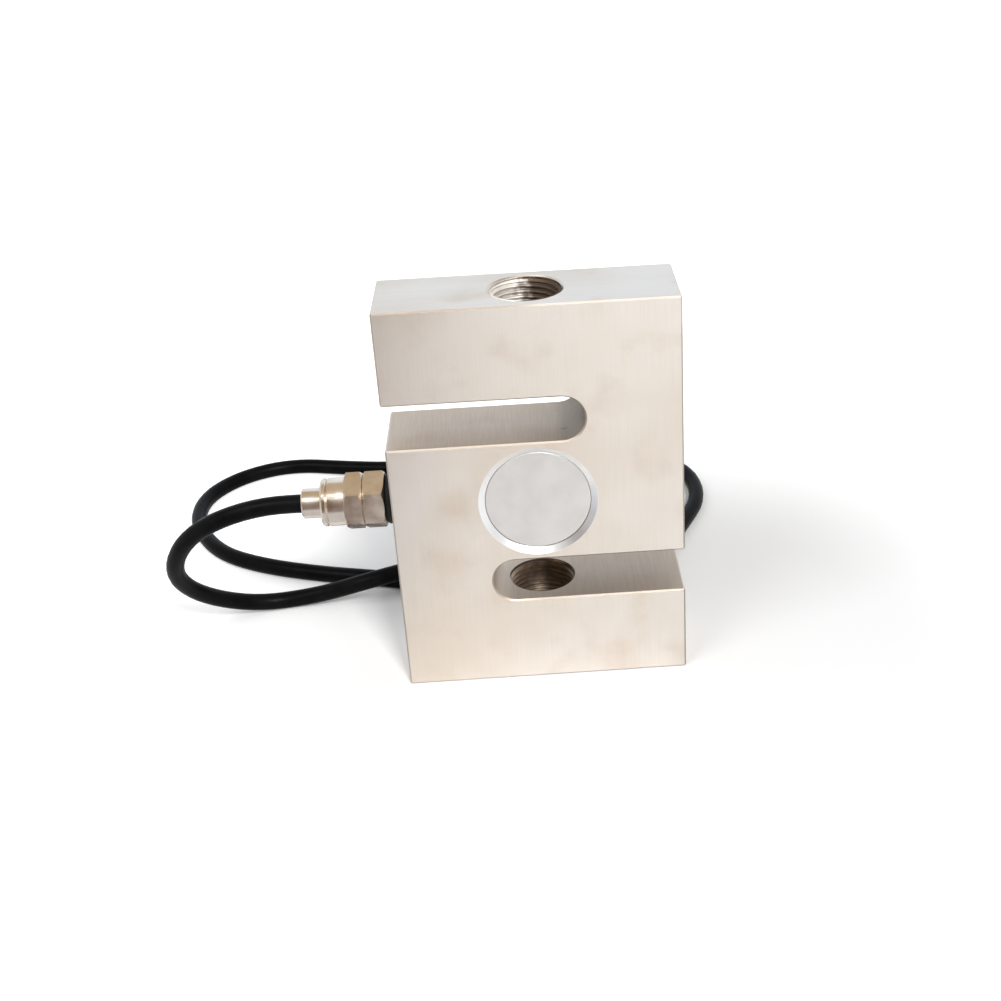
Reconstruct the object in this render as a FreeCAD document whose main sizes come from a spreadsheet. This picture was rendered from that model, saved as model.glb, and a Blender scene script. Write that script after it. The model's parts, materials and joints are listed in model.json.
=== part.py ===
"""An S type load cell: the steel S block with its sealed gauge bore, the cable gland on its left side
and the shielded cable, as separate pieces. Millimetres, +Z up, front face towards -Y, the origin at
the mouth of the lower threaded hole."""

import FreeCAD, Part
import math
import os
import re

import Sketcher
from FreeCAD import Placement, Rotation, Vector

SIZES = {
    # the S block
    "bodyWidth": 76.2,
    "bodyDepth": 25.4,
    "bodyHeight": 108.0,
    "armHeight": 24.8,  # the solid arm over and under each slot
    "slotGap": 12.2,
    "slotReach": 13.2,  # how far a slot's round end passes the block's middle
    "edgeBreak": 0.4,
    "boltRadius": 9.0,  # M18 x 1.5, at the thread's outer radius
    "boltMouthRadius": 9.9,
    # the gauge bore, which runs from front to back, and its two covers
    "boreRadius": 12.4,
    "seatRadius": 13.9,
    "seatDepth": 2.0,
    "rimRadius": 15.5,
    "rimDepth": 1.0,
    "coverRadius": 13.8,
    "coverThickness": 1.0,
    "coverEdge": 0.15,
    # what is in the bore
    "gaugeThickness": 0.2,
    "gaugeLength": 7.0,
    "gaugeAngle": 24.0,
    "gaugeFromTop": 30.0,  # degrees round the bore, from its top and bottom
    "boardThickness": 1.2,
    "boardHeight": 15.0,
    "boardDepth": 14.0,
    "boardFace": 8.65,  # from the bore's axis
    "padRadius": 0.9,
    "padThickness": 0.25,
    "padPitch": 3.0,
    "leadPadRow": -2.0,
    "gaugePadRow": 1.5,
    "chipLength": 3.2,
    "chipWidth": 1.6,
    "chipThickness": 0.6,
    "chipRow": 4.6,
    # the gland, measured outward from the block's left face
    "glandHeight": 51.3,
    "glandTurn": 6.0,
    "portRadius": 5.0,
    "portDepth": 8.0,
    "channelRadius": 2.25,
    "spigotRadius": 4.95,
    "spigotLength": 7.8,
    "neckRadius": 4.5,
    "neckLength": 2.3,
    "ringSection": 1.13,
    "hexFlats": 14.0,
    "hexBevelRadius": 6.9,
    "hexBevelDepth": 0.68,
    "bodyHexLength": 5.7,
    "hexGap": 0.1,
    "nutHexLength": 4.9,
    "nutThreadRadius": 5.75,
    "nutThreadEnd": 14.5,
    "nutBoreRadius": 5.8,
    "leadPassage": 2.0,
    "jacketStart": -1.0,  # inside the block
    "jacketPassage": 2.6,
    "sealStart": 9.3,
    "sealRadius": 4.3,
    "bushLength": 4.5,
    "washerThickness": 0.7,
    "sleeveShoulderRadius": 4.8,
    "sleeveShoulderEnd": 16.5,
    "sleeveRadius": 4.0,
    "sleeveEnd": 24.6,
    "sleeveEdge": 0.4,
    "shoulderPocketStart": 14.9,
    "shoulderPocketRadius": 5.0,
    "lipRadius": 4.1,
    "barrelRadius": 6.4,
    "barrelEnd": 19.3,
    "barrelEdge": 0.5,
    "barrelLine": 17.7,
    "barrelLineWidth": 0.7,
    "barrelLineDepth": 0.35,
    # the cable and its coil
    "cableRadius": 2.5,
    "coilX": 2.0,
    "coilY": 82.0,
    "coilRadius": 30.0,
    "coilHalfWidth": 10.0,
    "coilFoot": 1.2,
    "coilThickness": 15.0,
    "coilRounding": 4.5,
    "stubLength": 9.0,
    "stubReach": 4.0,
    "tieThickness": 1.1,
    "tieWidth": 4.0,
    "tieSlack": 0.3,
    "tieRounding": 4.0,
    "tieHeadWidth": 6.0,
    "tieHeadHeight": 5.5,
    "tieHeadDepth": 3.2,
    "endSleeveRadius": 2.9,
    "endSleeveLength": 18.0,
    "coreRadius": 0.6,
    "coreRing": 1.6,  # the circle that the cores leave the sleeve on
    "tipRadius": 0.35,
    "tipLength": 6.0,
    "innerLeadRadius": 0.5,
    "innerLeadOffset": 0.55,
}

# The cable from its jacket's end in the gland to the coil.
CABLE_ROUTE = [
    (-37.1, 0, 51.3), (-56.5, 0, 51.3), (-76, 0.2, 51.4), (-94.5, 2.5, 43.5), (-104, 11.5, 27.5),
    (-101, 24, 13), (-87, 32.5, 2.5), (-68, 36, 2.5), (-51, 32, 9), (-32.5, 38, 9),
    (-21, 44.3, 9.2),
]
# The cable from the coil, round its loose loop, to the stripped end.
TAIL_ROUTE = [
    (-30, 116.6, 4.4), (-48, 116.5, 3.2), (-67, 121.5, 2.5), (-86, 126.5, 2.5), (-103, 120, 2.5),
    (-114, 105, 2.5), (-114, 86, 2.5), (-104, 67.5, 2.5), (-89, 56.5, 2.5), (-68, 48, 2.5),
    (-45.5, 41, 2.5), (-19, 29, 2.5), (10, 26, 2.5), (33, 36, 2.5), (44, 60, 2.5),
    (55.5, 84, 2.5), (50, 109, 2.9), (29, 124, 2.9),
]
RUN_SHARE = 0.45  # how much of the shorter run an arc takes
CORE_FAN = {  # each core's angle in the sleeve's mouth, its three offsets to the side, and its reach
    "core_red": (162, (-4, -9.5, -12.5), 33),
    "core_black": (234, (-2.2, -4, -7), 37),
    "core_green": (90, (0.3, 1.6, 1.0), 34),
    "core_white": (306, (2.4, 5.5, 7), 38),
    "screen_wire": (18, (4.6, 9.5, 14), 31),
}

doc = FreeCAD.newDocument("load_cell")
sheet = doc.addObject("Spreadsheet::Sheet", "Sizes")
for row, (alias, size) in enumerate(SIZES.items(), start=1):
    sheet.set(f"A{row}", alias)
    sheet.set(f"B{row}", str(size))
    sheet.setAlias(f"B{row}", alias)
doc.recompute()
pieces = []


def formula(text):
    """The expression with each alias named as a cell of the sheet."""
    return re.sub(r"[A-Za-z]\w*", lambda m: f"Sizes.{m[0]}" if m[0] in SIZES else m[0], str(text))


def size(text):
    return float(sheet.evalExpression(formula(text)))


def bind(obj, **settings):
    for name, text in settings.items():
        obj.setExpression(name.replace("__", "."), formula(text))
    return obj


def keep(obj, label):
    """Names a finished piece and puts it on the list that is exported."""
    obj.Label = label
    pieces.append(obj)
    return obj


# ---- sketches and features ----------------------------------------------------------------------


def sketch_on(body, role, name, lift="0", up="0"):
    """A sketch on one of the body's own planes, lifted off it, with its origin moved up the plane."""
    plane = next(f for f in body.Origin.OriginFeatures if f.Role == role)
    sketch = body.newObject("Sketcher::SketchObject", name)
    sketch.AttachmentSupport = (plane, [""])
    sketch.MapMode = "FlatFace"
    bind(sketch, AttachmentOffset__Base__z=lift, AttachmentOffset__Base__y=up)
    return sketch


def place_point(sketch, edge, end, x, y):
    """Binds a sketch point's two coordinates to formulas."""
    for kind, text, axis in (("DistanceX", x, -2), ("DistanceY", y, -1)):
        if abs(size(text)) < 1e-9:
            sketch.addConstraint(Sketcher.Constraint("PointOnObject", edge, end, axis))
            continue
        number = sketch.addConstraint(Sketcher.Constraint(kind, -1, 1, edge, end, size(text)))
        sketch.setExpression(f"Constraints[{number}]", formula(text))


def outline(sketch, corners, arcs=None):
    """A closed outline. arcs gives the centre of each side that is a counterclockwise arc."""
    arcs = arcs or {}
    first, count = sketch.GeometryCount, len(corners)
    points = [Vector(size(x), size(y), 0) for x, y in corners]
    for side, start in enumerate(points):
        end = points[(side + 1) % count]
        if side not in arcs:
            sketch.addGeometry(Part.LineSegment(start, end), False)
            continue
        middle = Vector(size(arcs[side][0]), size(arcs[side][1]), 0)
        angles = [math.atan2((p - middle).y, (p - middle).x) for p in (start, end)]
        circle = Part.Circle(middle, Vector(0, 0, 1), (start - middle).Length)
        sketch.addGeometry(Part.ArcOfCircle(circle, angles[0], angles[1] % (2 * math.pi)), False)
    for side in range(count):
        after = (side + 1) % count
        sketch.addConstraint(Sketcher.Constraint("Coincident", first + side, 2, first + after, 1))
    for side, (x, y) in enumerate(corners):
        edge, end = (side, 1) if side not in arcs else ((side - 1) % count, 2)
        place_point(sketch, first + edge, end, x, y)
    for side, (x, y) in arcs.items():
        if abs(points[side].x - points[(side + 1) % count].x) < 1e-9:
            place_half(sketch, first + side, "DistanceX", x)
        else:
            place_half(sketch, first + side, "DistanceY", y)


def place_half(sketch, edge, kind, text):
    """Binds the one coordinate of an arc's centre that its ends leave open."""
    number = sketch.addConstraint(Sketcher.Constraint(kind, -1, 1, edge, 3, size(text)))
    sketch.setExpression(f"Constraints[{number}]", formula(text))


def circles(sketch, centres, radius):
    for x, y in centres:
        edge = sketch.GeometryCount
        middle = Vector(size(x), size(y), 0)
        sketch.addGeometry(Part.Circle(middle, Vector(0, 0, 1), size(radius)), False)
        place_point(sketch, edge, 3, x, y)
        number = sketch.addConstraint(Sketcher.Constraint("Radius", edge, size(radius)))
        sketch.setExpression(f"Constraints[{number}]", formula(radius))


def new_body(name):
    return doc.addObject("PartDesign::Body", name)


def pad(body, sketch, length, side="One side", reverse=False):
    feature = body.newObject("PartDesign::Pad", "Pad")
    feature.Profile, feature.SideType, feature.Reversed = sketch, side, reverse
    return bind(feature, Length=length)


def turned(body, name, corners, axis="V_Axis", role="XZ_Plane", cut=False, up="0"):
    """A revolved outline: material, or a cut."""
    sketch = sketch_on(body, role, name, up=up)
    outline(sketch, corners)
    feature = body.newObject("PartDesign::Groove" if cut else "PartDesign::Revolution", name + "Turn")
    feature.Profile, feature.ReferenceAxis, feature.Angle = sketch, (sketch, [axis]), 360
    return feature


def drilled(body, name, role, lift, up, settings, reverse=False, cut_type="None"):
    """A PartDesign Hole on one point of a plane."""
    sketch = sketch_on(body, role, name + "Point", lift=lift, up=up)
    circles(sketch, [("0", "0")], "channelRadius")
    doc.recompute()
    hole = body.newObject("PartDesign::Hole", name)
    hole.Profile = sketch
    doc.recompute()
    hole.DepthType, hole.DrillPoint, hole.Reversed = "Dimension", "Flat", reverse
    hole.HoleCutType = cut_type
    hole.HoleCutCustomValues = True
    bind(hole, **settings)
    doc.recompute()
    return hole


# ---- the S block --------------------------------------------------------------------------------


def slot_outline(sketch, low, towards):
    """One slot, open at the side it runs from, with a full-round end past the middle."""
    top, radius = f"{low} + slotGap", "slotGap / 2"
    end = f"slotReach - {radius}"
    mouth = "bodyWidth / 2 + slotGap"
    if towards > 0:
        corners = [(f"-({mouth})", low), (end, low), (end, top), (f"-({mouth})", top)]
    else:
        corners = [(mouth, top), (f"-({end})", top), (f"-({end})", low), (mouth, low)]
    outline(sketch, corners, {1: (corners[1][0], f"{low} + {radius}")})


def spring_element():
    body = new_body("SpringElement")
    blank = sketch_on(body, "XZ_Plane", "BlankOutline")
    outline(blank, [
        ("-bodyWidth / 2", "0"), ("bodyWidth / 2", "0"),
        ("bodyWidth / 2", "bodyHeight"), ("-bodyWidth / 2", "bodyHeight"),
    ])
    pad(body, blank, "bodyDepth", "Symmetric")
    slots = sketch_on(body, "XZ_Plane", "SlotOutlines")
    slot_outline(slots, "bodyHeight - armHeight - slotGap", 1)
    slot_outline(slots, "armHeight", -1)
    milled = body.newObject("PartDesign::Pocket", "Slots")
    milled.Profile, milled.SideType = slots, "Symmetric"
    bind(milled, Length="bodyDepth * 2")
    doc.recompute()
    edges = body.newObject("PartDesign::Chamfer", "EdgeBreak")
    edges.Base = (milled, [])
    edges.UseAllEdges = True
    bind(edges, Size="edgeBreak")
    half = "bodyDepth / 2"
    slope = "(rimRadius - seatRadius) / rimDepth"
    past, wide = f"{half} + rimDepth", f"rimRadius + {slope} * rimDepth"
    profile = [
        (past, wide), (f"{half} - rimDepth", "seatRadius"), (f"{half} - seatDepth", "seatRadius"),
        (f"{half} - seatDepth", "boreRadius"),
    ]
    front = [(f"-({along})", radius) for along, radius in profile]
    turned(
        body, "GaugeBore", [(f"-({past})", "0")] + front + profile[::-1] + [(past, "0")],
        "H_Axis", "YZ_Plane", cut=True, up="bodyHeight / 2",
    )
    doc.recompute()
    bolt = {
        "Diameter": "boltRadius * 2", "Depth": "armHeight + slotGap / 2",
        "HoleCutDiameter": "boltMouthRadius * 2", "HoleCutCountersinkAngle": "90",
    }
    drilled(body, "UpperThread", "XY_Plane", "bodyHeight", "0", bolt, False, "Countersink")
    drilled(body, "LowerThread", "XY_Plane", "0", "0", bolt, True, "Countersink")
    port = {
        "Diameter": "channelRadius * 2", "Depth": "bodyWidth / 2 - boreRadius / 2",
        "HoleCutDiameter": "portRadius * 2", "HoleCutDepth": "portDepth",
    }
    drilled(body, "GlandPort", "YZ_Plane", "-bodyWidth / 2", "glandHeight", port, True, "Counterbore")
    return keep(body, "spring_element")


def cover_disc(label, side):
    """A thin disc that rests on the shoulder of the bore's seat."""
    body = new_body("Cover")
    sketch = sketch_on(body, "XZ_Plane", "CoverOutline")
    circles(sketch, [("0", "0")], "coverRadius")
    plate = pad(body, sketch, "coverThickness", "Symmetric")
    doc.recompute()
    edge = body.newObject("PartDesign::Chamfer", "CoverEdge")
    edge.Base = (plate, [])
    edge.UseAllEdges = True
    bind(edge, Size="coverEdge")
    middle = f"{side} * (bodyDepth / 2 - seatDepth + coverThickness / 2)"
    bind(body, Placement__Base__y=middle, Placement__Base__z="bodyHeight / 2")
    return keep(body, label)


# ---- inside the gauge bore ----------------------------------------------------------------------


def strain_gauge(number, angle):
    """A foil gauge on the bore's wall, a thin part of a ring, at an angle from +X towards +Z."""
    rings = []
    for name, radius in (("Foil", "boreRadius"), ("Inside", "boreRadius - gaugeThickness")):
        ring = doc.addObject("Part::Cylinder", f"Gauge{name}")
        rings.append(bind(ring, Radius=radius, Height="gaugeLength", Angle="gaugeAngle"))
    gauge = doc.addObject("Part::Cut", "Gauge")
    gauge.Base, gauge.Tool = rings
    turn = Rotation(Vector(1, 0, 0), -90) * Rotation(Vector(0, 0, 1), -angle - size("gaugeAngle / 2"))
    gauge.Placement = Placement(Vector(0, 0, 0), turn)
    bind(gauge, Placement__Base__y="-gaugeLength / 2", Placement__Base__z="bodyHeight / 2")
    return keep(gauge, f"strain_gauge_{number}")


def terminal_board():
    """The board spans a chord of the bore. Its pads face the wire channel."""
    body = new_body("Board")
    outline_sketch = sketch_on(body, "YZ_Plane", "BoardOutline", lift="boardFace")
    across, high = "boardDepth / 2", "boardHeight / 2"
    corners = [(f"-{across}", f"-{high}"), (across, f"-{high}"), (across, high), (f"-{across}", high)]
    outline(outline_sketch, corners)
    pad(body, outline_sketch, "boardThickness")
    pads = sketch_on(body, "YZ_Plane", "SolderPads", lift="boardFace")
    spots = [(f"{k} * padPitch", row) for row in ("leadPadRow", "gaugePadRow") for k in PAD_PLACES]
    circles(pads, spots, "padRadius")
    pad(body, pads, "padThickness", reverse=True)
    bind(body, Placement__Base__z="bodyHeight / 2")
    return keep(body, "terminal_board")


PAD_PLACES = (-1.5, -0.5, 0.5, 1.5)


def trim_resistor(label, place):
    chip = doc.addObject("Part::Box", "Chip")
    bind(
        chip, Length="chipThickness", Width="chipLength", Height="chipWidth",
        Placement__Base__x="boardFace - chipThickness",
        Placement__Base__y=f"{place} - chipLength / 2",
        Placement__Base__z="bodyHeight / 2 + chipRow",
    )
    return keep(chip, label)


# ---- cable routes -------------------------------------------------------------------------------


def rounded_path(points):
    """Straight runs joined by tangent arcs: (wire, smallest radius, length)."""
    points = [Vector(*p) for p in points]
    edges, radii, start = [], [], points[0]
    for before, corner, after in zip(points, points[1:], points[2:]):
        into, out = (corner - before), (after - corner)
        turn = into.getAngle(out)
        reach = RUN_SHARE * min(into.Length, out.Length)
        into.normalize()
        out.normalize()
        first, last = corner - into * reach, corner + out * reach
        radius = reach / math.tan(turn / 2)
        inward = (out - into).normalize()
        middle = corner + inward * (radius / math.cos(turn / 2) - radius)
        edges += [Part.LineSegment(start, first).toShape(), Part.Arc(first, middle, last).toShape()]
        radii.append(radius)
        start = last
    edges.append(Part.LineSegment(start, points[-1]).toShape())
    return Part.Wire(edges), min(radii), sum(e.Length for e in edges)


def tube(label, points, radius, report=False):
    """A round solid along a rounded path."""
    wire, tightest, length = rounded_path(points)
    along = Vector(*points[1]) - Vector(*points[0])
    ring = Part.Wire(Part.Circle(Vector(*points[0]), along, radius).toShape())
    solid = wire.makePipeShell([ring], True, False)
    expected = math.pi * radius**2 * length
    if abs(solid.Volume / expected - 1) > 0.01:
        raise RuntimeError(f"{label}: volume {solid.Volume:.1f}, and section x length {expected:.1f}")
    if report:
        runs = [(Vector(*b) - Vector(*a)).Length for a, b in zip(points, points[1:])]
        print(f"{label}: {length:.0f} mm, tightest arc {tightest:.1f}, "
              f"runs {min(runs):.0f} to {max(runs):.0f}, volume/section/length {solid.Volume / expected:.4f}")
    feature = doc.addObject("Part::Feature", label)
    feature.Shape = solid
    return keep(feature, label)


def inner_lead(label, place, across, above):
    """A lead from the jacket's end, through the channel, to its solder pad."""
    y, z = across * size("innerLeadOffset"), size("glandHeight") + above * size("innerLeadOffset")
    pad_y, pad_z = place * size("padPitch"), size("bodyHeight / 2 + leadPadRow")
    start, face = CABLE_ROUTE[0][0], size("boardFace - padThickness")
    tube(label, [(start, y, z), (-13, y, z), (-2, pad_y, pad_z), (face, pad_y, pad_z)],
         size("innerLeadRadius"))


# ---- the gland ----------------------------------------------------------------------------------


def on_gland(obj, turn=0.0):
    """Puts a piece made along +Z on the gland's axis, which points out of the block's left face."""
    rotation = Rotation(Vector(0, 0, 1), Vector(-1, 0, 0)) * Rotation(Vector(0, 0, 1), turn)
    obj.Placement = Placement(Vector(0, 0, 0), rotation)
    return bind(obj, Placement__Base__x="-bodyWidth / 2", Placement__Base__z="glandHeight")


def hexagon(body, start, length):
    """A hexagon with a corner on the sketch's X axis, and both its ends bevelled."""
    corner, near, flat = "hexFlats / sqrt(3)", "hexFlats / sqrt(12)", "hexFlats / 2"
    sketch = sketch_on(body, "XY_Plane", "Hexagon", lift=start)
    outline(sketch, [
        (corner, "0"), (near, flat), (f"-{near}", flat),
        (f"-{corner}", "0"), (f"-{near}", f"-{flat}"), (near, f"-{flat}"),
    ])
    pad(body, sketch, length)
    end = f"{start} + {length}"
    for name, edge, inward in (("LowBevel", start, "+"), ("HighBevel", end, "-")):
        turned(body, name, [
            ("hexBevelRadius", edge), ("hexFlats", edge),
            ("hexFlats", f"{edge} {inward} hexBevelDepth * (hexFlats - hexBevelRadius)"
                         " / (hexFlats / sqrt(3) - hexBevelRadius)"),
        ], cut=True)


def gland_body():
    body = new_body("GlandBody")
    hexagon(body, "neckLength", "bodyHexLength")
    inside_hex = "neckLength + bodyHexLength / 2"
    turned(body, "SpigotAndThread", [
        ("0", "-spigotLength"), ("spigotRadius", "-spigotLength"), ("spigotRadius", "0"),
        ("neckRadius", "0"), ("neckRadius", inside_hex), ("nutThreadRadius", inside_hex),
        ("nutThreadRadius", "nutThreadEnd"), ("0", "nutThreadEnd"),
    ])
    turned(body, "Passages", [
        ("0", "-spigotLength - 1"), ("leadPassage", "-spigotLength - 1"),
        ("leadPassage", "jacketStart"), ("jacketPassage", "jacketStart"),
        ("jacketPassage", "sealStart"), ("sealRadius", "sealStart"),
        ("sealRadius", "nutThreadEnd + 1"), ("0", "nutThreadEnd + 1"),
    ], cut=True)
    on_gland(body, SIZES["glandTurn"])
    return keep(body, "gland_body")


def gland_cap_nut():
    body = new_body("CapNut")
    start = "neckLength + bodyHexLength + hexGap"
    hexagon(body, start, "nutHexLength")
    line, end = "barrelLine", "barrelEnd"
    turned(body, "Barrel", [
        ("0", f"{start} + nutHexLength / 2"), ("barrelRadius", f"{start} + nutHexLength / 2"),
        ("barrelRadius", f"{line} - barrelLineWidth / 2"),
        ("barrelRadius - barrelLineDepth", line),
        ("barrelRadius", f"{line} + barrelLineWidth / 2"),
        ("barrelRadius", f"{end} - barrelEdge"), ("barrelRadius - barrelEdge", end), ("0", end),
    ])
    turned(body, "NutBore", [
        ("0", f"{start} - 1"), ("nutBoreRadius", f"{start} - 1"),
        ("nutBoreRadius", "shoulderPocketStart"), ("shoulderPocketRadius", "shoulderPocketStart"),
        ("shoulderPocketRadius", "sleeveShoulderEnd"), ("lipRadius", "sleeveShoulderEnd"),
        ("lipRadius", f"{end} + 1"), ("0", f"{end} + 1"),
    ], cut=True)
    on_gland(body, SIZES["glandTurn"])
    return keep(body, "gland_cap_nut")


def turned_piece(label, corners):
    body = new_body("Turned")
    turned(body, "Section", corners)
    on_gland(body)
    return keep(body, label)


def gland_inside():
    """The bush that grips the jacket, the washer, and the sleeve that the cable leaves from."""
    bush_end = "sealStart + bushLength"
    washer_end = f"{bush_end} + washerThickness"
    grip, outer = "cableRadius + 0.02", "sealRadius - 0.05"
    turned_piece("seal_bush", [
        (grip, "sealStart"), (f"{outer} - 0.6", "sealStart"), (outer, "sealStart + 1"),
        (outer, bush_end), (grip, bush_end),
    ])
    turned_piece("thrust_washer", [
        ("jacketPassage", bush_end), (outer, bush_end), (outer, washer_end),
        ("jacketPassage", washer_end),
    ])
    turned_piece("clamp_sleeve", [
        ("jacketPassage", washer_end), ("sleeveShoulderRadius", washer_end),
        ("sleeveShoulderRadius", "sleeveShoulderEnd"), ("sleeveRadius", "sleeveShoulderEnd"),
        ("sleeveRadius", "sleeveEnd - sleeveEdge"), ("sleeveRadius - sleeveEdge", "sleeveEnd"),
        ("jacketPassage", "sleeveEnd"),
    ])
    ring = doc.addObject("Part::Torus", "SealRing")
    bind(ring, Radius1="neckRadius + neckLength / 2", Radius2="ringSection")
    on_gland(ring)
    bind(ring, Placement__Base__x="-bodyWidth / 2 - neckLength / 2")
    keep(ring, "gland_o_ring")


# ---- the coil, its ties and the stripped end ------------------------------------------------------


def rounded_rectangle(sketch, left, right, low, high, radius):
    corners = [
        (f"{left} + {radius}", low), (f"{right} - {radius}", low),
        (right, f"{low} + {radius}"), (right, f"{high} - {radius}"),
        (f"{right} - {radius}", high), (f"{left} + {radius}", high),
        (left, f"{high} - {radius}"), (left, f"{low} + {radius}"),
    ]
    arcs = {
        1: (corners[1][0], corners[2][1]), 3: (corners[4][0], corners[3][1]),
        5: (corners[5][0], corners[6][1]), 7: (corners[0][0], corners[7][1]),
    }
    outline(sketch, corners, arcs)


def stub(end, before, side):
    """A short length of cable that leads from a tube's end into the middle of the coil's section."""
    onward = (Vector(*end) - Vector(*before)).normalize()
    inside = Vector(
        size("coilX - stubReach"), size(f"coilY + {side} * coilRadius"),
        size("coilFoot + coilThickness / 2"),
    )
    points = [Vector(*end), Vector(*end) + onward * size("stubLength"), inside]
    ring = Part.Wire(Part.Circle(points[0], onward, size("cableRadius")).toShape())
    rod = doc.addObject("Part::Feature", "Stub")
    rod.Shape = rounded_path(points)[0].makePipeShell([ring], True, False)
    return rod


def cable_coil():
    """The outer shape of the neat coil: a ring of rounded section, with the cable's two ends."""
    body = new_body("CoilRing")
    sketch = sketch_on(body, "XZ_Plane", "CoilSection")
    rounded_rectangle(sketch, "(coilRadius - coilHalfWidth)", "(coilRadius + coilHalfWidth)",
                      "coilFoot", "(coilFoot + coilThickness)", "coilRounding")
    ring = body.newObject("PartDesign::Revolution", "CoilTurn")
    ring.Profile, ring.ReferenceAxis, ring.Angle = sketch, (sketch, ["V_Axis"]), 360
    bind(body, Placement__Base__x="coilX", Placement__Base__y="coilY")
    coil = doc.addObject("Part::MultiFuse", "Coil")
    coil.Shapes = [body, stub(*CABLE_ROUTE[:-3:-1], -1), stub(*TAIL_ROUTE[:2], 1)]
    return keep(coil, "cable_coil")


def coil_tie(label, angle):
    """A cable tie round the coil's section, at an angle round the coil."""
    body = new_body("Tie")
    sketch = sketch_on(body, "XZ_Plane", "TieBand")
    inner, outer = "(coilRadius - coilHalfWidth - tieSlack)", "(coilRadius + coilHalfWidth + tieSlack / 2)"
    low, high = "(coilFoot - tieSlack / 3)", "(coilFoot + coilThickness + tieSlack / 3)"
    rounded_rectangle(sketch, inner, outer, low, high, "tieRounding")
    rounded_rectangle(sketch, f"({inner} - tieThickness)", f"({outer} + tieThickness)", "0",
                      f"({high} + tieThickness)", "(tieRounding + tieThickness)")
    pad(body, sketch, "tieWidth", "Symmetric")
    head = sketch_on(body, "XZ_Plane", "TieHead")
    face, middle = f"{outer} + tieThickness / 2", "(coilFoot + coilThickness / 2)"
    outline(head, [
        (face, f"{middle} - tieHeadHeight / 2"), (f"{face} + tieHeadDepth", f"{middle} - tieHeadHeight / 2"),
        (f"{face} + tieHeadDepth", f"{middle} + tieHeadHeight / 2"), (face, f"{middle} + tieHeadHeight / 2"),
    ])
    pad(body, head, "tieHeadWidth", "Symmetric")
    body.Placement = Placement(Vector(0, 0, 0), Rotation(Vector(0, 0, 1), angle))
    bind(body, Placement__Base__x="coilX", Placement__Base__y="coilY")
    return keep(body, label)


def stripped_end():
    """The heat-shrink sleeve, and the four cores and the screen that fan out of it on the floor."""
    end = Vector(*TAIL_ROUTE[-1])
    along = (end - Vector(*TAIL_ROUTE[-2])).normalize()
    across, up = Vector(-along.y, along.x, 0), Vector(0, 0, 1)
    sleeve = doc.addObject("Part::Cylinder", "EndSleeve")
    bind(sleeve, Radius="endSleeveRadius", Height="endSleeveLength")
    sleeve.Placement = Placement(end, Rotation(up, along))
    keep(sleeve, "end_sleeve")
    mouth = end + along * size("endSleeveLength")
    radius, ring, tips = size("coreRadius"), size("coreRing"), []
    for label, (spoke, sides, reach) in CORE_FAN.items():
        spoke = math.radians(spoke)
        start = mouth + across * (ring * math.cos(spoke)) + up * (ring * math.sin(spoke))
        path = [start, start + along * 5]
        for forward, side in zip((13, 13 + (reach - 13) * 0.52, reach), sides):
            path.append(mouth + along * forward + across * side + up * (radius - mouth.z))
        tube(label, [tuple(point) for point in path], radius)
        if label != "screen_wire":
            onward = path[-1] - path[-2]
            tips.append(Part.makeCylinder(size("tipRadius"), size("tipLength"), path[-1], onward))
    group = doc.addObject("Part::Feature", "CoreTips")
    group.Shape = Part.Compound(tips)
    keep(group, "core_tips")


def check_and_export():
    doc.recompute()
    for obj in doc.Objects:
        if "Invalid" in obj.State or "Error" in obj.State:
            raise RuntimeError(f"{obj.Name} ({obj.Label}) failed: {obj.State}")
    os.makedirs("parts", exist_ok=True)
    for piece in pieces:
        if piece.Shape.isNull() or not piece.Shape.isValid() or piece.Shape.Volume <= 0:
            raise RuntimeError(f"{piece.Label} has no valid shape")
        piece.Shape.exportStep(f"parts/{piece.Label}.step")
        print(f"{piece.Label}: {len(piece.Shape.Solids)} solid(s), {piece.Shape.Volume:.1f} mm3")


spring_element()
cover_disc("front_cover_disc", -1)
cover_disc("rear_cover_disc", 1)
off_top = SIZES["gaugeFromTop"]
for number, angle in enumerate((90 - off_top, 90 + off_top, 270 - off_top, 270 + off_top), start=1):
    strain_gauge(number, angle)
terminal_board()
trim_resistor("zero_resistor", -3)
trim_resistor("span_resistor", 3)
inner_lead("inner_lead_red", PAD_PLACES[0], -1, 1)
inner_lead("inner_lead_black", PAD_PLACES[1], -1, -1)
inner_lead("inner_lead_green", PAD_PLACES[2], 1, -1)
inner_lead("inner_lead_white", PAD_PLACES[3], 1, 1)
gland_inside()
gland_body()
gland_cap_nut()
tube("cable", CABLE_ROUTE, SIZES["cableRadius"], report=True)
cable_coil()
tube("cable_tail", TAIL_ROUTE, SIZES["cableRadius"], report=True)
coil_tie("coil_tie_left", 165)
coil_tie("coil_tie_right", -15)
stripped_end()
check_and_export()
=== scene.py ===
import json
import math

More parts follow.
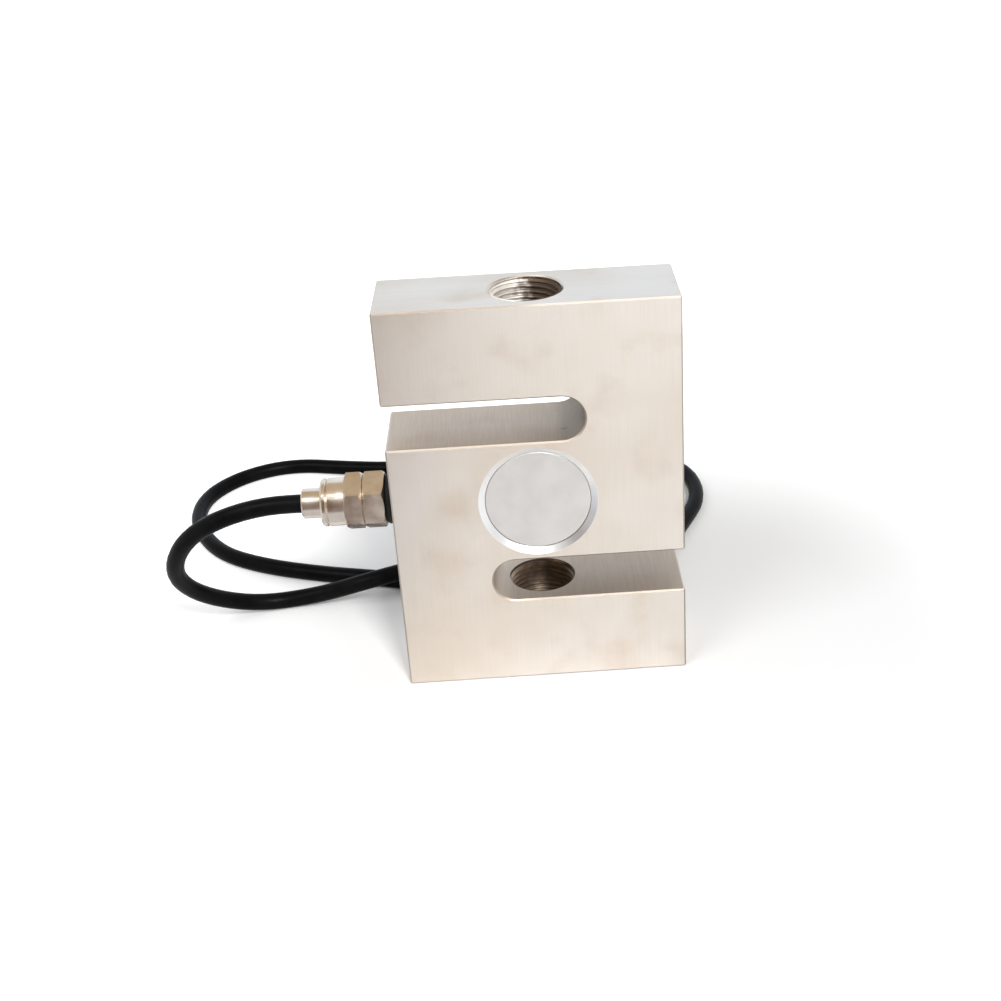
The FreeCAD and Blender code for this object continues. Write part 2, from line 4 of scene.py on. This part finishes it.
import bmesh
import bpy
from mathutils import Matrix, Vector


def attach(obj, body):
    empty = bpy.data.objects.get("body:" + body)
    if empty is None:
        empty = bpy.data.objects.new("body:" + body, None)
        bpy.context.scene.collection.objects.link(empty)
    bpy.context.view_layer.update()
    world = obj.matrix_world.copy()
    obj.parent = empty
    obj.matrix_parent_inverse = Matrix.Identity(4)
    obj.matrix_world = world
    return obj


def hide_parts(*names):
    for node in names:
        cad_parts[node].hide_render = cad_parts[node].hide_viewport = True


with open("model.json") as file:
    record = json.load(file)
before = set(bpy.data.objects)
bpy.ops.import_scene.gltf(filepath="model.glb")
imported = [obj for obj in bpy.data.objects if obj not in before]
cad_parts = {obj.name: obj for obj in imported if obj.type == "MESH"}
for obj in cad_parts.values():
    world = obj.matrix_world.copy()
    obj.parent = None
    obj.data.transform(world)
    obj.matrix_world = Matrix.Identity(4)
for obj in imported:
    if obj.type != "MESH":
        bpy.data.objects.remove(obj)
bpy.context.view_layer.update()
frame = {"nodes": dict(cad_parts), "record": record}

scene = bpy.context.scene
nodes = frame["nodes"]
print("frame loaded:", len(nodes), "nodes")

# the camera

view = {
    "place": (-0.00109, -0.34756, 0.22883),
    "turn": (62.985, 2.366, -3.274),
    "lens": 52.321,
    "shift": (-0.0794, -0.0155),
    "clip": (0.01, 20),
}
cameraData = bpy.data.cameras.new("camera")
cameraData.lens = view["lens"]
cameraData.shift_x, cameraData.shift_y = view["shift"]
cameraData.clip_start, cameraData.clip_end = view["clip"]
camera = bpy.data.objects.new("camera", cameraData)
camera.location = view["place"]
camera.rotation_euler = [math.radians(angle) for angle in view["turn"]]
scene.collection.objects.link(camera)
scene.camera = camera
print("camera placed")

# the cable: out of the gland, down to the floor, round its coil and back to the stripped end

cable = {
    "radius": 0.0025,
    "exit": (-0.0627, 0, 0.0513),
    "length": 2.8,
    "toCoil": [
        (-0.0371, 0, 0.0513), (-0.0565, 0, 0.0513), (-0.076, 0.0002, 0.0514),
        (-0.0945, 0.0025, 0.0435), (-0.104, 0.0105, 0.0275), (-0.101, 0.0215, 0.013),
        (-0.087, 0.0312, 0.0025), (-0.068, 0.034, 0.0025), (-0.0505, 0.0295, 0.0095),
        (-0.0325, 0.038, 0.009), (-0.021, 0.0443, 0.0092), (-0.0065, 0.0445, 0.009),
    ],
    "fromCoil": [
        (-0.0135, 0.1193, 0.0039), (-0.03, 0.1166, 0.0044), (-0.048, 0.1165, 0.0032),
        (-0.067, 0.1215, 0.0025), (-0.086, 0.1265, 0.0025), (-0.103, 0.12, 0.0025),
        (-0.114, 0.105, 0.0025), (-0.114, 0.086, 0.0025), (-0.104, 0.066, 0.0025),
        (-0.089, 0.055, 0.0025), (-0.068, 0.0467, 0.0025), (-0.0455, 0.041, 0.0025),
        (-0.019, 0.029, 0.0025), (0.01, 0.026, 0.0025), (0.033, 0.036, 0.0025),
        (0.044, 0.06, 0.0025), (0.0555, 0.084, 0.0025), (0.05, 0.109, 0.0029),
        (0.029, 0.124, 0.0029),
    ],
    "coilCentre": (0.002, 0.082),
    "outerTurn": 0.0375,
    "pitch": 0.005,
    "lowTurn": 0.0037,
    "cells": [  # column from outside, row from below, in the order the turns are laid
        (0, 1), (0, 2), (1, 2), (2, 2), (3, 2), (3, 1), (3, 0), (2, 0), (2, 1), (1, 1), (1, 0), (0, 0),
    ],
    "lastTurn": 0.5,  # the last turn is only half a turn
    "stepsPerTurn": 16,
    "shiftFrom": 0.78,  # the part of a turn where it moves over to the next cell
    "shiftTo": 0.96,
    "roundness": 6,
    "smoothness": 6,
}


def smoothStep(low, high, value):
    share = min(max((value - low) / (high - low), 0), 1)
    return share * share * (3 - 2 * share)


def coilPoints(plan):
    # control points of the wound turns; the spline runs a little inside them, so they lie further out
    steps = plan["stepsPerTurn"]
    inside = 0.75 + 0.25 * math.cos(2 * math.pi / steps)
    cells = plan["cells"] + [plan["cells"][-1]]
    turns = len(plan["cells"]) - 1 + plan["lastTurn"]
    points = []
    for step in range(1, int(turns * steps)):
        turn, part = divmod(step / steps, 1)
        here, after = cells[int(turn)], cells[int(turn) + 1]
        move = smoothStep(plan["shiftFrom"], plan["shiftTo"], part)
        column, row = (a + (b - a) * move for a, b in zip(here, after))
        radius = (plan["outerTurn"] - column * plan["pitch"]) / inside
        angle = 2 * math.pi * part - math.pi / 2
        points.append((
            plan["coilCentre"][0] + radius * math.cos(angle),
            plan["coilCentre"][1] + radius * math.sin(angle),
            plan["lowTurn"] + row * plan["pitch"],
        ))
    return points


def cableObject(name, plan):
    # one spline for the whole length; its points carry the radius
    curve = bpy.data.curves.new(name, "CURVE")
    curve.dimensions = "3D"
    curve.bevel_depth = 1.0
    curve.bevel_resolution = plan["roundness"]
    curve.resolution_u = plan["smoothness"]
    curve.use_fill_caps = True
    points = plan["toCoil"] + coilPoints(plan) + plan["fromCoil"]
    spline = curve.splines.new("NURBS")
    spline.points.add(len(points) - 1)
    for point, place in zip(spline.points, points):
        point.co = (*place, 1)
        point.radius = plan["radius"]
    spline.order_u = 3
    spline.use_endpoint_u = True
    made = bpy.data.objects.new(name, curve)
    scene.collection.objects.link(made)
    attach(made, "root")
    return made


cablePiece = cableObject("signal_cable", cable)
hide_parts("cable", "cable_coil", "cable_tail")
print("cable laid")

# the threads in the two load holes

thread = {
    "outer": 0.00902,  # just past the drilled hole's wall, so that no gap shows
    "crest": 0.00825,
    "root": 0.00895,
    "pitch": 0.0015,
    "mouth": 0.0099,  # the bevel's radius at each end
    "clearOfBevel": 0.0002,
    "insideWall": 0.00001,
    "crestFlat": 0.25,  # shares of the pitch
    "rootFlat": 0.125,
    "around": 96,
    "perPitch": 12,
    "holes": {  # the heights of the mouth and of the inner end
        "upper_thread_turns": (0.1079, 0.0833),
        "lower_thread_turns": (0.0001, 0.0247),
    },
}


def threadRadius(plan, share):
    # the profile over one pitch: crest flat, flank, root flat, flank
    flank = (1 - plan["crestFlat"] - plan["rootFlat"]) / 2
    fromCrest = abs((share - plan["crestFlat"] / 2 + 0.5) % 1 - 0.5) - plan["crestFlat"] / 2
    return plan["crest"] + (plan["root"] - plan["crest"]) * min(max(fromCrest / flank, 0), 1)


def circlePoints(radius, height, count):
    angles = [2 * math.pi * step / count for step in range(count)]
    return [(radius * math.cos(angle), radius * math.sin(angle), height) for angle in angles]


def threadRing(plan, height, ends):
    # one ring of the turns, which a bevel cuts back at both ends
    bevel = max(plan["mouth"] - abs(height - end) - plan["clearOfBevel"] for end in ends)
    least = min(plan["outer"] - plan["insideWall"], bevel)
    ring = []
    for step, (x, y, z) in enumerate(circlePoints(1, height, plan["around"])):
        share = (height / plan["pitch"] - step / plan["around"]) % 1
        radius = max(threadRadius(plan, share), least)
        ring.append((radius * x, radius * y, z))
    return ring


def threadSleeve(name, plan, mouth, inner):
    # a closed sleeve: the turns inside and a plain wall outside
    rows = int(abs(inner - mouth) / plan["pitch"] * plan["perPitch"])
    heights = [mouth + (inner - mouth) * row / rows for row in range(rows + 1)]
    shape = bmesh.new()
    rings = [threadRing(plan, height, (mouth, inner)) for height in heights]
    rings += [circlePoints(plan["outer"], height, plan["around"]) for height in (inner, mouth)]
    rings = [[shape.verts.new(point) for point in ring] for ring in rings]
    for low, high in zip(rings, rings[1:] + rings[:1]):
        for step in range(plan["around"]):
            after = (step + 1) % plan["around"]
            shape.faces.new((low[step], low[after], high[after], high[step]))
    bmesh.ops.recalc_face_normals(shape, faces=shape.faces)
    for face in shape.faces:
        face.smooth = True
    mesh = bpy.data.meshes.new(name)
    shape.to_mesh(mesh)
    shape.free()
    made = bpy.data.objects.new(name, mesh)
    scene.collection.objects.link(made)
    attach(made, "root")
    return made


threads = {name: threadSleeve(name, thread, *ends) for name, ends in thread["holes"].items()}
print("threads cut")

# shader building


class Signal:
    # a socket that can stand in sums
    def __init__(self, shader, socket):
        self.shader, self.socket = shader, socket

    def sum(self, operation, *terms):
        return self.shader.node("ShaderNodeMath", {"operation": operation}, dict(enumerate(terms)))

    def __add__(self, other):
        return self.sum("ADD", self, other)

    __radd__ = __add__

    def __mul__(self, other):
        return self.sum("MULTIPLY", self, other)

    __rmul__ = __mul__

    def __sub__(self, other):
        return self.sum("SUBTRACT", self, other)

    def __rsub__(self, other):
        return self.sum("SUBTRACT", other, self)

    def __abs__(self):
        return self.sum("ABSOLUTE", self)

    def rise(self, low, high):
        # 0 below low, 1 above high, and smooth between them
        inputs = {"Value": self, "From Min": low, "From Max": high}
        return self.shader.node("ShaderNodeMapRange", {"interpolation_type": "SMOOTHSTEP"}, inputs)


class Shader:
    # the nodes of one material or world
    def __init__(self, tree):
        self.tree = tree
        tree.nodes.clear()

    def node(self, kind, settings=None, inputs=None, output=0):
        made = self.tree.nodes.new(kind)
        for key, value in (settings or {}).items():
            setattr(made, key, value)
        for key, value in (inputs or {}).items():
            if isinstance(value, Signal):
                self.tree.links.new(value.socket, made.inputs[key])
            else:
                made.inputs[key].default_value = value
        return Signal(self, made.outputs[output]) if len(made.outputs) else None

    def place(self):
        return self.node("ShaderNodeTexCoord", output="Object")

    def parts(self, vector):
        return [self.node("ShaderNodeSeparateXYZ", {}, {0: vector}, output=axis) for axis in range(3)]

    def stretched(self, scale):
        return self.node("ShaderNodeMapping", {}, {"Vector": self.place(), "Scale": scale})

    def noise(self, scale, detail, vector=None):
        inputs = {"Vector": vector or self.place(), "Scale": scale, "Detail": detail}
        return self.node("ShaderNodeTexNoise", {}, inputs)

    def mix(self, share, first, second):
        # for colours; blend is for numbers
        inputs = {0: share, 6: first, 7: second}
        return self.node("ShaderNodeMix", {"data_type": "RGBA"}, inputs, output=2)

    def blend(self, share, first, second):
        return self.node("ShaderNodeMix", {"data_type": "FLOAT"}, {0: share, 2: first, 3: second})

    def length(self, *sides):
        vector = self.node("ShaderNodeCombineXYZ", {}, dict(enumerate(sides)))
        return self.node("ShaderNodeVectorMath", {"operation": "LENGTH"}, {0: vector}, output=1)

    def bump(self, height, distance, strength):
        inputs = {"Height": height, "Distance": distance, "Strength": strength}
        return self.node("ShaderNodeBump", {}, inputs)

    def lightPath(self, kinds):
        # 1 for the rays of these kinds, and 0 for the others
        rays = [self.node("ShaderNodeLightPath", output=f"Is {kind} Ray") for kind in kinds]
        found = rays[0]
        for ray in rays[1:]:
            found = found.sum("MAXIMUM", found, ray)
        return found

    def principled(self, **inputs):
        named = {key.replace("_", " "): value for key, value in inputs.items()}
        return self.node("ShaderNodeBsdfPrincipled", {}, named)

    def finish(self, shader, kind="Material"):
        self.node(f"ShaderNodeOutput{kind}", {}, {"Surface": shader})


def newMaterial(name):
    material = bpy.data.materials.new(name)
    material.use_nodes = True
    return material, Shader(material.node_tree)


def colour(red, green, blue):
    return (red, green, blue, 1.0)


# the finishes

noiseSpan = (0.3, 0.7)  # nearly all of the noise lies between these
block = {
    "boreHeight": 0.054,
    "rimRadius": 0.0155,
    "rimBack": 0.0112,  # how far from the middle plane the rim's bevel starts
    "slotOffset": 0.0231,  # from the bore's axis to each slot's middle
    "slotHalf": 0.0061,
    "halfWidth": 0.0381,
}
nickel = {
    "grain": 5200,  # how fine the ground lines are across and along them
    "grainLength": 60,
    "grainShare": 0.12,
    "grainTone": colour(0.56, 0.50, 0.435),
    "grainDepth": 0.00001,
    "grainStrength": 0.5,
    "patches": 22,
    "patchSpan": (0.35, 0.65),
    "patchTones": (colour(0.705, 0.635, 0.557), colour(0.77, 0.722, 0.668)),
    "stains": 70,
    "stainSpan": (0.5, 0.75),
    "stainShare": 0.42,
    "stainTone": colour(0.63, 0.525, 0.43),
    "streaks": 2200,  # how fine the slots' milled lines are across and along them
    "streakLength": 90,
    # the slots' tones are darker than the face: partly their milled finish, partly painted shade
    "milledAndShadeTones": (colour(0.61, 0.525, 0.44), colour(0.66, 0.57, 0.485)),
    "slotShadeTones": (colour(0.49, 0.415, 0.345), colour(0.54, 0.46, 0.385)),
    "slotShadeFrom": (-0.012, 0.012),  # painted shade: the slots are darker towards the right
    "endShadeTone": colour(0.31, 0.265, 0.22),
    "endShadeFrom": (0.0045, 0.0115),  # and the upper slot's round end is painted darkest, as shade
    # painted shade on the broken edges
    "edgeShadeTones": (colour(0.46, 0.395, 0.335), colour(0.30, 0.26, 0.22)),
    "edgeShare": 0.95,
    "topEdgeShare": 0.3,
    "topEdgeFrom": (0.0427, 0.0488),  # heights over the bore's axis
    "lowEdgeFrom": (-0.0183, 0),
    "scuff": (0.0079, -0.0052),
    "scuffSize": (0.00028, 0.0014),  # the radius that is fully dark, and the radius of its outer edge
    "scuffFlatness": 2,
    "scuffShare": 0.5,
    "scuffTone": colour(0.15, 0.125, 0.11),
    "rimLightAndShadeTones": (colour(0.85, 0.855, 0.86), colour(0.66, 0.65, 0.64)),  # its lower part painted lighter as reflection, its upper part painted darker as shade
    "rimRoughness": 0.3,
    "roughness": 0.34,
    "stainRoughness": 0.08,
    "grainRoughness": 0.06,
    "slotRoughness": 0.14,
    "levelFacing": (0.6, 0.9),  # spans of the normal: level faces,
    "frontFacing": (0.75, 0.95),  # the front and the back,
    "edgeFacing": ((0.3, 0.6), (0.8, 0.95)),  # and the broken edges between
    "fade": 0.02,  # how softly a slot's and the rim's finish end, as shares of their size
    "rimFade": 0.01,
}


def nickelFinish(form, look):
    # satin plating with a ground grain; the milled slots are darker, partly as their finish and partly as
    # painted shade, and the bore's rim carries a painted reflection; these painted tones go by x and height
    # and stay in place whatever the light
    material, make = newMaterial("satin_nickel")
    x, y, z = make.parts(make.place())
    normalY, normalZ = make.parts(make.node("ShaderNodeNewGeometry", output="Normal"))[1:]
    across, along = look["grain"], look["grainLength"]
    upright = make.noise(1.0, 2, make.stretched((across, across, along)))
    level = make.noise(1.0, 2, make.stretched((along, across, across)))
    grain = make.blend(abs(normalZ).rise(*look["levelFacing"]), upright, level).rise(*noiseSpan)
    patches = make.noise(look["patches"], 3).rise(*look["patchSpan"])
    stains = make.noise(look["stains"], 4).rise(*look["stainSpan"])
    face = make.mix(patches, *look["patchTones"])
    face = make.mix(stains * look["stainShare"], face, look["stainTone"])
    face = make.mix(grain * look["grainShare"], face, look["grainTone"])

    # the milled slots: milled streaks, on a darker tone that is partly their finish and partly painted shade
    height = z - form["boreHeight"]
    half, width, fade = form["slotHalf"], form["halfWidth"], look["fade"]
    inGap = 1 - abs(abs(height) - form["slotOffset"]).rise(half, half * (1 + fade))
    awayFromSides = 1 - abs(x).rise(width * (1 - fade), width)
    inSlot = inGap * awayFromSides * (1 - abs(normalY).rise(*look["frontFacing"]))
    across, along = look["streaks"], look["streakLength"]
    streaks = make.noise(1.0, 3, make.stretched((across, along, across))).rise(*noiseSpan)
    # the slots' colour: milled streaks over tones that are partly finish and partly painted shade
    milled = make.mix(streaks, *look["milledAndShadeTones"])
    slotShaded = make.mix(streaks, *look["slotShadeTones"])
    # painted shade: the slots turn darker towards the right
    slot = make.mix(x.rise(*look["slotShadeFrom"]), milled, slotShaded)
    inUpper = height.rise(0, half)
    # painted shade: darkest in the upper slot's round end
    roundEnd = x.rise(*look["endShadeFrom"]) * inUpper
    base = make.mix(inSlot, face, make.mix(roundEnd, slot, look["endShadeTone"]))

    # the broken edges' painted shade, faint at the top right and deepest at the lower right
    towards, past = look["edgeFacing"]
    onEdge = abs(normalY).rise(*towards) * (1 - abs(normalY).rise(*past))
    topRight = height.rise(*look["topEdgeFrom"]) * x.rise(-half, half)
    lowerRight = x.rise(-half, 0) * (1 - height.rise(*look["lowEdgeFrom"]))
    edgeShare = make.blend(topRight, look["edgeShare"], look["topEdgeShare"])
    base = make.mix(onEdge * edgeShare, base, make.mix(lowerRight, *look["edgeShadeTones"]))

    # a small scuff on the upper slot's floor
    scuffX, scuffY = look["scuff"]
    fromScuff = make.length(x - scuffX, (y - scuffY) * look["scuffFlatness"])
    scuff = (1 - fromScuff.rise(*look["scuffSize"])) * inSlot * inUpper
    base = make.mix(scuff * look["scuffShare"], base, look["scuffTone"])

    # the bore's bevelled rim: lighter below as painted reflection, darker above as painted shade
    radius, back, fade = form["rimRadius"], form["rimBack"], look["rimFade"]
    onRim = 1 - make.length(x, height).rise(radius, radius * (1 + fade))
    onRim = onRim * abs(y).rise(back, back * (1 + fade))
    base = make.mix(onRim, base, make.mix(height.rise(0, radius), *look["rimLightAndShadeTones"]))

    rough = look["roughness"] + look["stainRoughness"] * stains + look["grainRoughness"] * grain
    rough = make.blend(onRim, rough + look["slotRoughness"] * inSlot, look["rimRoughness"])
    bump = make.bump(grain * (1 - onRim), look["grainDepth"], look["grainStrength"])
    make.finish(make.principled(Base_Color=base, Roughness=rough, Metallic=1.0, Normal=bump))
    return material


threadLook = {
    "smear": 500,
    "smearWidth": 0.003,
    "smearRoughness": 0.1,
    "smearDepth": 0.00001,
    "smearStrength": 0.4,
}
# each thread's light side is a painted highlight and its dark side painted shade
threadTones = {
    "upper_thread_turns": {
        "name": "cut_thread", "light": colour(0.95, 0.91, 0.86), "dark": colour(0.11, 0.08, 0.06),
        "roughness": 0.5, "shadeSideFrom": (-0.004, 0.004),
    },
    # the lower thread is painted darker all over, as shade deep in its hole
    "lower_thread_turns": {
        "name": "shaded_lower_thread", "light": colour(0.46, 0.36, 0.28), "dark": colour(0.15, 0.115, 0.08),
        "roughness": 0.34, "shadeSideFrom": (-0.006, 0.004),
    },
}


def threadFinish(plan, look):
    # cut threads; the light left is a painted highlight and the dark right painted shade, and both stay in
    # place whatever the light
    material, make = newMaterial(plan["name"])
    smear = make.noise(look["smear"], 3).rise(*noiseSpan)
    x = make.parts(make.place())[0]
    # painted highlight on the left of the hole, painted shade on the right
    dark = (x + look["smearWidth"] * smear).rise(*plan["shadeSideFrom"])
    make.finish(make.principled(
        Base_Color=make.mix(dark, plan["light"], plan["dark"]),
        Roughness=plan["roughness"] + look["smearRoughness"] * smear,
        Metallic=1.0, Normal=make.bump(smear, look["smearDepth"], look["smearStrength"]),
    ))
    return material


metalLook = {
    "smearRoughness": 0.08,
    "smearDepth": 0.000006,
    "smearStrength": 0.4,
}
metals = {
    "cover_steel": {
        "name": "cover_sheet", "dark": colour(0.625, 0.605, 0.59), "light": colour(0.68, 0.665, 0.65),
        "roughness": 0.42, "smear": 160,
    },
    "gland_metal": {
        "name": "gland_nickel", "dark": colour(0.69, 0.60, 0.50), "light": colour(0.77, 0.695, 0.605),
        "roughness": 0.17, "smear": 240,
    },
    "steel_washer": {
        "name": "steel_washer", "dark": colour(0.5, 0.5, 0.5), "light": colour(0.6, 0.6, 0.6),
        "roughness": 0.3, "smear": 700,
    },
    "tinned_copper": {
        "name": "tinned_copper", "dark": colour(0.58, 0.56, 0.52), "light": colour(0.7, 0.69, 0.66),
        "roughness": 0.3, "smear": 700,
    },
}


def metalFinish(plan, look):
    # a metal with a faint smear in its colour and its gloss
    material, make = newMaterial(plan["name"])
    smear = make.noise(plan["smear"], 3).rise(*noiseSpan)
    make.finish(make.principled(
        Base_Color=make.mix(smear, plan["dark"], plan["light"]),
        Roughness=plan["roughness"] + look["smearRoughness"] * smear,
        Metallic=1.0, Normal=make.bump(smear, look["smearDepth"], look["smearStrength"]),
    ))
    return material


softLook = {
    "shine": 0.5,
    "skinRoughness": 0.1,
    "skinDepth": 0.00001,
    "skinStrength": 0.5,
    "patchSize": 9,  # against the skin's grain
}
softs = {
    "seal_rubber": {
        "name": "seal_rubber", "dark": colour(0.012, 0.011, 0.01), "light": colour(0.02, 0.019, 0.017),
        "roughness": 0.6, "skin": 900, "shine": 0.2,
    },
    "jacket": {
        "name": "cable_jacket", "dark": colour(0.003, 0.003, 0.0035), "light": colour(0.006, 0.006, 0.0065),
        "roughness": 0.28, "skin": 1200, "shine": 0.045,
    },
    "tie_nylon": {
        "name": "tie_nylon", "dark": colour(0.012, 0.012, 0.012), "light": colour(0.022, 0.022, 0.022),
        "roughness": 0.3, "skin": 900,
    },
    "shrink_tube": {
        "name": "shrink_tube", "dark": colour(0.015, 0.015, 0.017), "light": colour(0.028, 0.028, 0.03),
        "roughness": 0.5, "skin": 700,
    },
    "gauge_foil": {
        "name": "gauge_film", "dark": colour(0.6, 0.36, 0.08), "light": colour(0.72, 0.48, 0.14),
        "roughness": 0.3, "skin": 900,
    },
    "board": {
        "name": "board_laminate", "dark": colour(0.03, 0.2, 0.07), "light": colour(0.05, 0.27, 0.1),
        "roughness": 0.35, "skin": 900,
    },
    "chip": {
        "name": "chip_ceramic", "dark": colour(0.03, 0.03, 0.03), "light": colour(0.06, 0.06, 0.06),
        "roughness": 0.5, "skin": 900,
    },
    "wire_red": {
        "name": "wire_red", "dark": colour(0.5, 0.015, 0.012), "light": colour(0.6, 0.03, 0.02),
        "roughness": 0.32, "skin": 1500,
    },
    "wire_black": {
        "name": "wire_black", "dark": colour(0.01, 0.01, 0.01), "light": colour(0.018, 0.018, 0.018),
        "roughness": 0.32, "skin": 1500,
    },
    "wire_green": {
        "name": "wire_green", "dark": colour(0.015, 0.26, 0.06), "light": colour(0.03, 0.34, 0.09),
        "roughness": 0.32, "skin": 1500,
    },
    "wire_white": {
        "name": "wire_white", "dark": colour(0.72, 0.72, 0.7), "light": colour(0.8, 0.8, 0.78),
        "roughness": 0.32, "skin": 1500,
    },
}


def softFinish(plan, look):
    # rubber, plastics and the like: a fine skin with a faint change of colour
    material, make = newMaterial(plan["name"])
    skin = make.noise(plan["skin"], 4).rise(*noiseSpan)
    patches = make.noise(plan["skin"] / look["patchSize"], 2).rise(*noiseSpan)
    make.finish(make.principled(
        Base_Color=make.mix(patches, plan["dark"], plan["light"]),
        Roughness=plan["roughness"] + look["skinRoughness"] * skin,
        Specular_IOR_Level=plan.get("shine", look["shine"]),
        Normal=make.bump(skin, look["skinDepth"], look["skinStrength"]),
    ))
    return material


finishes = {"nickel_steel": nickelFinish(block, nickel)}
finishes.update({slot: metalFinish(plan, metalLook) for slot, plan in metals.items()})
finishes.update({slot: softFinish(plan, softLook) for slot, plan in softs.items()})
threadFinishes = {name: threadFinish(plan, threadLook) for name, plan in threadTones.items()}


def dress(piece, material):
    piece.data.materials.clear()
    piece.data.materials.append(material)


for part in frame["record"]["subparts"]:
    dress(nodes[part["node"]], finishes[part["material_slot"]])
dress(cablePiece, finishes["jacket"])
for name, sleeve in threads.items():
    dress(sleeve, threadFinishes[name])
print("finishes made:", len(finishes) + len(threadFinishes))

# the studio

studio = {
    "floorSize": 6.0,
    "floorColour": colour(0.87, 0.873, 0.88),
    "floorGlow": (0.05, 0.6),  # near the object, and far from it
    "glowCentre": (0.03, 0.0, 0.0),
    "glowFrom": 0.065,
    "glowTo": 0.2,
    "skyLight": 0.42,
    "skyMirrored": 0.8,
    "lamps": [
        {"name": "key", "place": (0.3, -1.0, 1.0), "size": 0.25, "power": 13.0, "tint": (1.0, 0.98, 0.95)},
        {"name": "fill", "place": (-0.72, -0.72, 1.2), "size": 0.7, "power": 8.0, "tint": (0.95, 0.97, 1.0)},
    ],
    "cards": [  # seen only in reflections
        {"name": "dark_front", "place": (-0.18, -0.28, 0.14), "size": (0.25, 0.28), "facing": (0, 1, 0),
         "tint": colour(0.21, 0.15, 0.125)},
        {"name": "dark_table", "place": (-0.16, -0.195, 0.003), "size": (0.21, 0.17), "facing": (0, 0, 1),
         "tint": colour(0.27, 0.205, 0.185)},
        {"name": "shade_left", "place": (-0.155, -0.09, 0.002), "size": (0.22, 0.17), "facing": (0, 0, 1),
         "tint": colour(0.70, 0.715, 0.75)},
        {"name": "window", "place": (0.44, -0.75, 0.95), "size": (1.12, 1.0), "facing": (0, 0.62, -0.78),
         "tint": colour(1.3, 1.3, 1.3)},
        {"name": "ceiling", "place": (0, 0.15, 1.5), "size": (2.0, 2.0), "facing": (0, 0, -1),
         "tint": colour(0.60, 0.49, 0.36)},
        {"name": "back_wall", "place": (0, 1.6, 0.8), "size": (3.4, 1.6), "facing": (0, -1, 0),
         "tint": colour(1.0, 1.09, 1.2)},
    ],
}


def lamp(plan):
    data = bpy.data.lights.new(plan["name"], "AREA")
    data.shape, data.size, data.energy, data.color = "SQUARE", plan["size"], plan["power"], plan["tint"]
    made = bpy.data.objects.new(plan["name"], data)
    made.location = plan["place"]
    made.rotation_euler = (-Vector(plan["place"])).to_track_quat("-Z", "Y").to_euler()
    scene.collection.objects.link(made)


def sheet(name, width, height, material):
    across, up = width / 2, height / 2
    corners = [(-across, -up, 0), (across, -up, 0), (across, up, 0), (-across, up, 0)]
    mesh = bpy.data.meshes.new(name)
    mesh.from_pydata(corners, [], [(0, 1, 2, 3)])
    mesh.materials.append(material)
    made = bpy.data.objects.new(name, mesh)
    scene.collection.objects.link(made)
    return made


def card(plan):
    material, make = newMaterial(plan["name"])
    make.finish(make.node("ShaderNodeEmission", {}, {"Color": plan["tint"]}))
    made = sheet(plan["name"], *plan["size"], material)
    made.location = plan["place"]
    made.rotation_euler = Vector(plan["facing"]).to_track_quat("Z", "Y").to_euler()
    made.visible_camera = made.visible_diffuse = made.visible_shadow = False
    made.visible_transmission = made.visible_volume_scatter = False


def makeFloor(plan):
    material, make = newMaterial("floor")
    ends = {0: make.place(), 1: plan["glowCentre"]}
    away = make.node("ShaderNodeVectorMath", {"operation": "DISTANCE"}, ends, output=1)
    near, far = plan["floorGlow"]
    glow = make.blend(away.rise(plan["glowFrom"], plan["glowTo"]), near, far)
    mirrored = make.lightPath(["Glossy", "Transmission"])
    paper = make.node("ShaderNodeBsdfDiffuse", {}, {"Color": plan["floorColour"]})
    strength = glow * make.lightPath(["Camera"]) + near * mirrored
    light = make.node("ShaderNodeEmission", {}, {"Strength": strength})
    make.finish(make.node("ShaderNodeAddShader", {}, {0: paper, 1: light}))
    sheet("floor", plan["floorSize"], plan["floorSize"], material)


def makeSky(plan):
    world = bpy.data.worlds.new("sky")
    world.use_nodes = True
    scene.world = world
    make = Shader(world.node_tree)
    mirrored = make.blend(make.lightPath(["Glossy", "Transmission"]), plan["skyLight"], plan["skyMirrored"])
    strength = make.blend(make.lightPath(["Camera"]), mirrored, 1.0)
    white = colour(1, 1, 1)
    make.finish(make.node("ShaderNodeBackground", {}, {"Color": white, "Strength": strength}), "World")


makeFloor(studio)
makeSky(studio)
for plan in studio["lamps"]:
    lamp(plan)
for plan in studio["cards"]:
    card(plan)
scene.view_settings.view_transform = "Standard"
print("studio lit")
